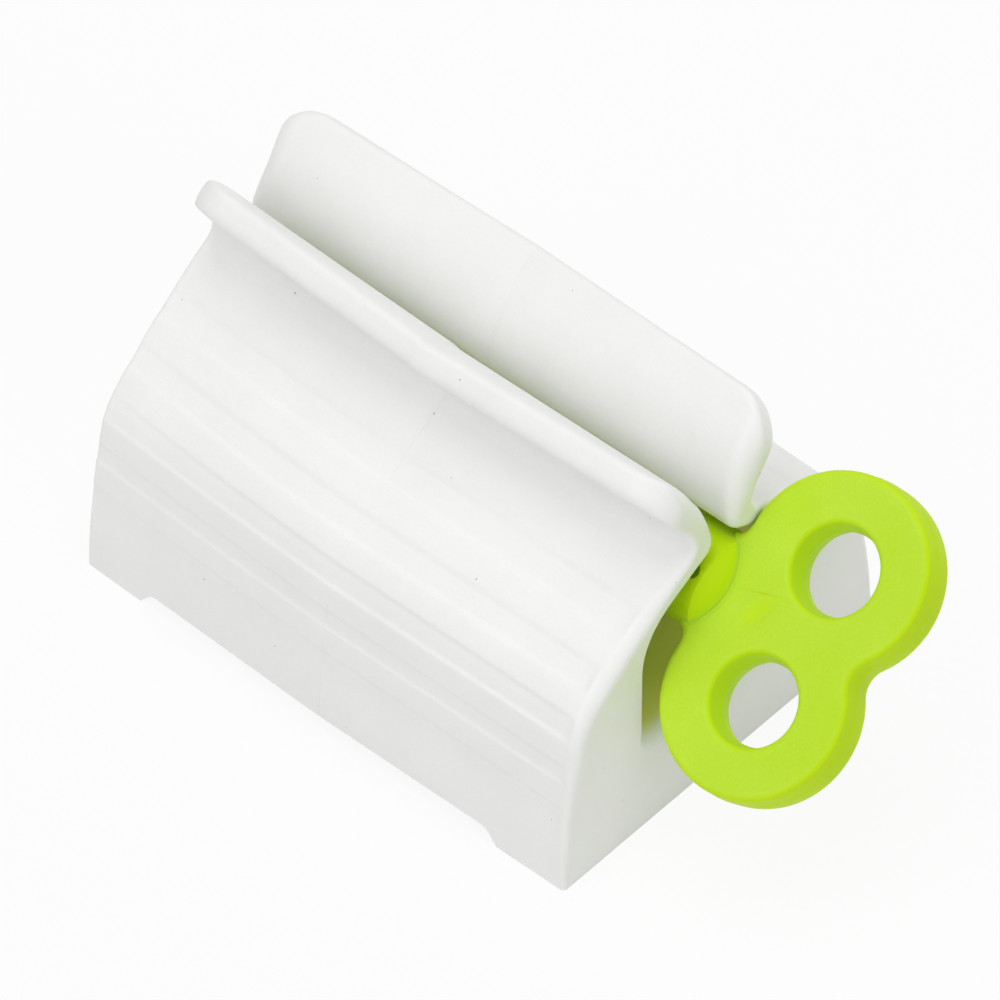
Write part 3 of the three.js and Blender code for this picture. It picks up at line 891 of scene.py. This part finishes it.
def plastic(name, pale, deep, speck_colour, speck_scale, roughness, bump, gloss, glow):
    material = bpy.data.materials.new(name)
    material.use_nodes = True
    tree = material.node_tree
    shader = tree.nodes["Principled BSDF"]
    shader.inputs["Specular IOR Level"].default_value = gloss
    shader.inputs["Subsurface Weight"].default_value = glow
    shader.inputs["Subsurface Radius"].default_value = (1.0, 1.0, 1.0)
    shader.inputs["Subsurface Scale"].default_value = GLOW_DEPTH
    place = tree.nodes.new("ShaderNodeTexCoord")
    skin = tree.nodes.new("ShaderNodeGroup")
    skin.node_tree = moulded_skin
    skin.inputs["Speck Scale"].default_value = speck_scale
    tree.links.new(place.outputs["Object"], skin.inputs["Vector"])
    mottle = add_math(tree, "ADD", skin.outputs["Cloud"], skin.outputs["Grain"])
    contrast = add_node(tree, "ShaderNodeMapRange", From_Min=MOTTLE_LOW, From_Max=MOTTLE_HIGH)
    tree.links.new(mottle, contrast.inputs["Value"])
    tone = mix_colours(tree, contrast.outputs["Result"], deep, pale)
    dust = mix_colours(tree, skin.outputs["Specks"], tone.outputs["Result"], speck_colour)
    tree.links.new(dust.outputs["Result"], shader.inputs["Base Color"])
    rough = add_node(tree, "ShaderNodeMapRange", To_Min=roughness[0], To_Max=roughness[1])
    tree.links.new(skin.outputs["Grain"], rough.inputs["Value"])
    tree.links.new(rough.outputs["Result"], shader.inputs["Roughness"])
    relief = add_node(tree, "ShaderNodeBump", Strength=bump, Distance=GRAIN_DEPTH)
    tree.links.new(skin.outputs["Grain"], relief.inputs["Height"])
    tree.links.new(relief.outputs["Normal"], shader.inputs["Normal"])
    skin.name, relief.name, dust.name = "moulded skin", "grain relief", "moulded colour"
    return material


print("a finish is made with", plastic.__name__)

# %% The two finishes
white_plastic = plastic(
    "white_polypropylene",
    pale=(0.92, 0.92, 0.91),
    deep=(0.885, 0.885, 0.87),
    speck_colour=(0.45, 0.44, 0.42),
    speck_scale=600.0,
    roughness=(0.36, 0.5),
    bump=0.35,
    gloss=0.4,
    glow=0.0,
)
# The lime's pale and deep tones carry a little painted white sheen in their blue; further down, the rims, the
# dome and the shaft swap it for a deeper lime.
lime_plastic = plastic(
    "lime_polypropylene",
    pale=(0.545, 0.79, 0.054),
    deep=(0.505, 0.755, 0.026),
    speck_colour=(0.3, 0.5, 0.01),
    speck_scale=420.0,
    roughness=(0.42, 0.55),
    bump=0.8,
    gloss=0.09,
    glow=0.3,
)
stand.data.materials.clear()
stand.data.materials.append(white_plastic)
key.data.materials.clear()
key.data.materials.append(lime_plastic)
print("finishes:", white_plastic.name, lime_plastic.name)

# %% [markdown]
# ## Green light in the chamber
# The lime key throws its colour on to the white walls round it, and the light that is caught in the chamber
# turns olive at the handle's end. A render follows only a few of those bounces, so the walls are tinted as
# well. The tint is a soft-edged bar in the stand's own space, which holds nothing but the walls and the floor
# of the chamber and fades away from the handle.


# %% Tint the chamber
def soft_band(tree, value, rise_from, rise_to, fall_from, fall_to):
    rise = add_node(tree, "ShaderNodeMapRange", From_Min=rise_from, From_Max=rise_to)
    fall = add_node(tree, "ShaderNodeMapRange", From_Min=fall_from, From_Max=fall_to, To_Min=1.0, To_Max=0.0)
    for node in (rise, fall):
        tree.links.new(value, node.inputs["Value"])
    return add_math(tree, "MULTIPLY", rise.outputs["Result"], fall.outputs["Result"])


CHAMBER_TINT = (0.99, 0.97, 0.33)
# Along each axis in metres: the tint rises between the first two values and falls between the last two.
CHAMBER_BAR = {
    "X": (-0.012, 0.008, 0.0164, 0.0176),
    "Y": (-0.0098, -0.0094, 0.0094, 0.0098),
    "Z": (0.0088, 0.0098, 0.0203, 0.0213),
}
tree = white_plastic.node_tree
place = tree.nodes.new("ShaderNodeTexCoord")
axes = tree.nodes.new("ShaderNodeSeparateXYZ")
tree.links.new(place.outputs["Object"], axes.inputs["Vector"])
inside = None
for axis, limits in CHAMBER_BAR.items():
    band = soft_band(tree, axes.outputs[axis], *limits)
    inside = add_math(tree, "MULTIPLY", inside, band) if inside else band
plain_colour = tree.nodes["moulded colour"].outputs["Result"]
tinted = mix_colours(tree, inside, plain_colour, CHAMBER_TINT)
tree.links.new(tinted.outputs["Result"], tree.nodes["Principled BSDF"].inputs["Base Color"])
print("chamber tint:", CHAMBER_TINT)

# %% [markdown]
# ## Painted sheen on the faces, polished rims and two marks
# The two flat faces of the handle come from a finely etched mould and have a fine grain in their relief.
# Their colour carries a painted sheen, a little white light painted in, so they are paler than the rims. The
# rims, the dome and the shaft are polished, without the grain, and show a deeper lime with no painted sheen.
# Between the rings the face has sunk a little, where the plastic was thickest and shrank as it cooled, and a
# fine flow line runs from the dome towards the upper ring, where two streams of the melt met. Each mark is a
# dent in the relief, and takes the painted sheen away, which paints its shade. All this is found in the key's
# own
# millimetres: the faces by their height, and each mark by a round gradient that is squeezed to an ellipse.

# %% The key's own millimetres
tree = lime_plastic.node_tree
place = tree.nodes.new("ShaderNodeTexCoord")
key_place = (SHIFT_X * TO_METRES, 0, KEY_HEIGHT * TO_METRES)
own_mm = add_node(tree, "ShaderNodeMapping", Location=key_place, Rotation=(KEY_TILT, 0, 0))
own_mm.inputs["Scale"].default_value = [TO_METRES] * 3
own_mm.vector_type = "TEXTURE"
axes = tree.nodes.new("ShaderNodeSeparateXYZ")
tree.links.new(place.outputs["Object"], own_mm.inputs["Vector"])
tree.links.new(own_mm.outputs["Vector"], axes.inputs["Vector"])
height = add_math(tree, "ABSOLUTE", axes.outputs["Z"])
print("key space: tilted", round(degrees(KEY_TILT), 1), "degrees")

# %% Painted sheen on the faces, and the marks in them
LIME_WITHOUT_PAINTED_SHEEN = (0.555, 0.805, 0.006)
# Centre, turn and half size of each mark in mm, its depth in mm, and how far it takes the painted sheen away,
# which paints the mark's shade.
MARKS = {
    "sink": ((31.2, -0.1, FACE), radians(68), (2.4, 1.05, 1.0), 0.12, 0.8),
    "flow line": ((31.0, 1.45, FACE), radians(17.7), (2.6, 0.1, 1.0), 0.05, 1.0),
}
SHEEN_AND_GRAIN_BAND = (FACE - 0.22, FACE - 0.02, FACE + 0.2, FACE + 0.4)
# matt marks where the faces get the grain relief and the painted sheen in their colour.
matt = soft_band(tree, height, *SHEEN_AND_GRAIN_BAND)
normal = None
for centre, turn, reach, depth, shade in MARKS.values():
    spot = add_node(tree, "ShaderNodeMapping", Location=centre, Rotation=(0, 0, turn), Scale=reach)
    spot.vector_type = "TEXTURE"
    round_spot = tree.nodes.new("ShaderNodeTexGradient")
    round_spot.gradient_type = "SPHERICAL"
    dent = add_node(tree, "ShaderNodeBump", Distance=depth * TO_METRES)
    dent.invert = True
    # Inside the mark the painted sheen is taken away, a painted shade for the dent.
    sheen_kept = add_node(tree, "ShaderNodeMapRange", To_Min=1.0, To_Max=1.0 - shade)
    tree.links.new(own_mm.outputs["Vector"], spot.inputs["Vector"])
    tree.links.new(spot.outputs["Vector"], round_spot.inputs["Vector"])
    tree.links.new(round_spot.outputs["Fac"], dent.inputs["Height"])
    tree.links.new(round_spot.outputs["Fac"], sheen_kept.inputs["Value"])
    matt = add_math(tree, "MULTIPLY", matt, sheen_kept.outputs["Result"])
    if normal:
        tree.links.new(normal, dent.inputs["Normal"])
    normal = dent.outputs["Normal"]
skin, relief = tree.nodes["moulded skin"], tree.nodes["grain relief"]
face_colour_with_painted_sheen = tree.nodes["moulded colour"].outputs["Result"]
# Painted sheen: the faces take the paler moulded colour, the rims, the dome and the shaft the deeper lime.
painted_sheen_mix = mix_colours(tree, matt, LIME_WITHOUT_PAINTED_SHEEN, face_colour_with_painted_sheen)
tree.links.new(painted_sheen_mix.outputs["Result"], tree.nodes["Principled BSDF"].inputs["Base Color"])
tree.links.new(add_math(tree, "MULTIPLY", matt, skin.outputs["Grain"]), relief.inputs["Height"])
tree.links.new(normal, relief.inputs["Normal"])
print("marks:", ", ".join(MARKS))

# %% [markdown]
# ## Floor
# The object stands on a plain white floor that runs out of the picture. To the camera and to reflections it
# glows almost white, and what is left of its matt paint keeps the object's faint shadow.

# %% Floor
FLOOR_SIZE, FLOOR_PAINT, FLOOR_GLOW = 6, (0.83, 0.83, 0.83, 1), 0.9
WHITE = (1, 1, 1, 1)


def background_rays(tree):
    ray = tree.nodes.new("ShaderNodeLightPath")
    total = ray.outputs["Is Camera Ray"]
    for kind in ("Is Glossy Ray", "Is Transmission Ray"):
        total = add_math(tree, "MAXIMUM", total, ray.outputs[kind])
    return total


bpy.ops.object.select_all(action="DESELECT")
bpy.ops.mesh.primitive_plane_add(size=FLOOR_SIZE)
floor = bpy.context.object
floor.name = "studio_floor"
floor_paint = bpy.data.materials.new("floor_white")
floor_paint.use_nodes = True
tree = floor_paint.node_tree
tree.nodes.remove(tree.nodes["Principled BSDF"])
matt = add_node(tree, "ShaderNodeBsdfDiffuse", Color=FLOOR_PAINT)
glow = add_node(tree, "ShaderNodeEmission", Color=WHITE, Strength=1.0)
seen = add_math(tree, "MULTIPLY", background_rays(tree))
seen.node.inputs[1].default_value = FLOOR_GLOW
blend = tree.nodes.new("ShaderNodeMixShader")
tree.links.new(seen, blend.inputs["Fac"])
tree.links.new(matt.outputs["BSDF"], blend.inputs[1])
tree.links.new(glow.outputs["Emission"], blend.inputs[2])
tree.links.new(blend.outputs["Shader"], tree.nodes["Material Output"].inputs["Surface"])
floor.data.materials.append(floor_paint)
floor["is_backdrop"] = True
print("floor:", floor.name)

# %% [markdown]
# ## Light
# Broad, round softboxes stand above the object and on its front, right and rear sides, and the room adds an
# even light. The faces that look up are lightest, and the end face with the key lies in soft shade. The
# lamps are weak enough for the white plastic to keep its tones.

# %% World
ROOM_LIGHT = 0.34
world = bpy.data.worlds.new("studio")
bpy.context.scene.world = world
world.use_nodes = True
tree = world.node_tree
ambient = tree.nodes["Background"]
ambient.inputs["Color"].default_value = WHITE
ambient.inputs["Strength"].default_value = ROOM_LIGHT
backdrop = add_node(tree, "ShaderNodeBackground", Color=WHITE, Strength=1.0)
blend = tree.nodes.new("ShaderNodeMixShader")
tree.links.new(background_rays(tree), blend.inputs["Fac"])
tree.links.new(ambient.outputs["Background"], blend.inputs[1])
tree.links.new(backdrop.outputs["Background"], blend.inputs[2])
tree.links.new(blend.outputs["Shader"], tree.nodes["World Output"].inputs["Surface"])
print("world:", world.name)

# %% Softboxes
LAMP_TARGET, LAMP_SIZE = Vector((0, 0, 0.015)), 0.7
# Place in metres and power in watts.
LAMPS = {
    "top_softbox": ((0, 0, 1.0), 2.76),
    "front_top_softbox": ((-0.1, -0.5, 0.85), 2.05),
    "front_softbox": ((0, -0.9, 0.45), 1.34),
    "right_softbox": ((0.9, -0.2, 0.5), 1.72),
    "rear_softbox": ((0, 0.9, 0.5), 2.0),
}
for name, (place, power) in LAMPS.items():
    bpy.ops.object.light_add(type="AREA", location=place)
    lamp = bpy.context.object
    lamp.name = name
    lamp.data.shape = "DISK"
    lamp.data.size = LAMP_SIZE
    lamp.data.energy = power
    lamp.rotation_euler = (LAMP_TARGET - Vector(place)).to_track_quat("-Z", "Y").to_euler()
print("lamps:", ", ".join(LAMPS))

# %% [markdown]
# ## Camera
# The camera looks down on the front and on the handle's end through a long lens, so that parallel edges stay
# nearly parallel. Its axes come from fitting the corners of the stand's base to their places in the picture.

# %% Camera
RIGHT = Vector((0.74034, 0.67224, 0.0))
BACK = Vector((0.45095, -0.49663, 0.74163))
UP = BACK.cross(RIGHT)
AIM_RIGHT, AIM_UP, DISTANCE, FOCAL_LENGTH = 1.70, 7.98, 1000, 436.75
eye = AIM_RIGHT * RIGHT + AIM_UP * UP + DISTANCE * BACK + Vector((SHIFT_X, 0, 0))
bpy.ops.object.camera_add(location=eye / 1000)
camera = bpy.context.object
camera.name = "photo_camera"
camera.rotation_euler = Matrix((RIGHT, UP, BACK)).transposed().to_euler()
camera.data.lens = FOCAL_LENGTH
camera.data.sensor_width = 36
camera.data.clip_end = 20
bpy.context.scene.camera = camera
bpy.context.scene.view_settings.view_transform = "Standard"
print("camera at", [round(v, 1) for v in eye], "mm")

# %% [markdown]
# ## Sizes
# The solids and the finished pieces have to fill the same box, so both boxes are written down side by side.

# %% Write the two boxes and finish
boxes = {"cad": cad_box, "visual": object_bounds()}
boxes = {name: [list(corner) for corner in box] for name, box in boxes.items()}
print(boxes)
